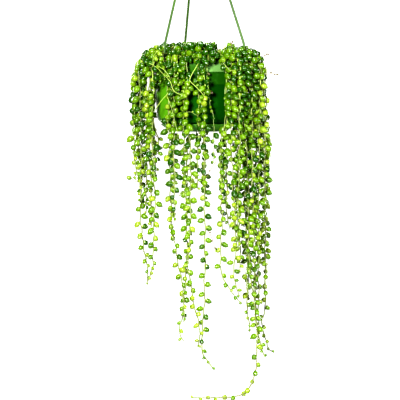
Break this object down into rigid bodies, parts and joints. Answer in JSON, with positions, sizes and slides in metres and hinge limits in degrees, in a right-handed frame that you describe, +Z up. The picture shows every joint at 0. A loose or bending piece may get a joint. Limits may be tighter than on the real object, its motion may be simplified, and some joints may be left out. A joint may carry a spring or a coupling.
{
  "type": "potted string of pearls in a hanging pot",
  "caption": "Trailing string-of-pearls succulent in a hanging plastic pot with clip-on saucer, rod hanger and hook.",
  "frame": {"origin": "the point on the inside top of the hook where it hangs on its rail or nail", "axes": "+Z up along the pot's axis, -Y towards the front of the pot, +X to the right seen from the front"},
  "size_m": [0.2078, 0.1754, 0.7548],
  "materials": {
    "hanger_plastic": "moulded mid-green plastic, slightly glossy",
    "pot_plastic": "moulded bright green plastic, smooth",
    "saucer_plastic": "moulded darker green plastic, smooth",
    "soil": "moist peaty potting soil, rough",
    "crown_leaves": "waxy round leaves in dark and mid green with some yellow-green",
    "string_leaves": "waxy round leaves in mid green and yellow-green on pale thin stems"
  },
  "bodies": {
    "root": {"hanger_hook": "hanger_plastic", "rod_front_left": "hanger_plastic", "rod_right": "hanger_plastic", "rod_back": "hanger_plastic", "pot": "pot_plastic", "saucer": "saucer_plastic", "soil": "soil", "crown": "crown_leaves", "string_01": "string_leaves", "string_02": "string_leaves", "string_03": "string_leaves", "string_04": "string_leaves", "string_05": "string_leaves", "string_06": "string_leaves", "string_07": "string_leaves", "string_08": "string_leaves", "string_09": "string_leaves", "string_10": "string_leaves", "string_11": "string_leaves", "string_12": "string_leaves", "string_13": "string_leaves", "string_14": "string_leaves", "string_15": "string_leaves", "string_16": "string_leaves", "string_17": "string_leaves", "string_18": "string_leaves", "string_19": "string_leaves", "string_20": "string_leaves", "string_21": "string_leaves", "string_22": "string_leaves", "string_23": "string_leaves", "string_24": "string_leaves", "string_25": "string_leaves", "string_26": "string_leaves", "string_27": "string_leaves", "string_28": "string_leaves", "string_29": "string_leaves", "string_30": "string_leaves", "string_31": "string_leaves", "string_32": "string_leaves", "string_33": "string_leaves", "string_34": "string_leaves", "string_35": "string_leaves", "string_36": "string_leaves", "string_37": "string_leaves"}
  },
  "joints": []
}
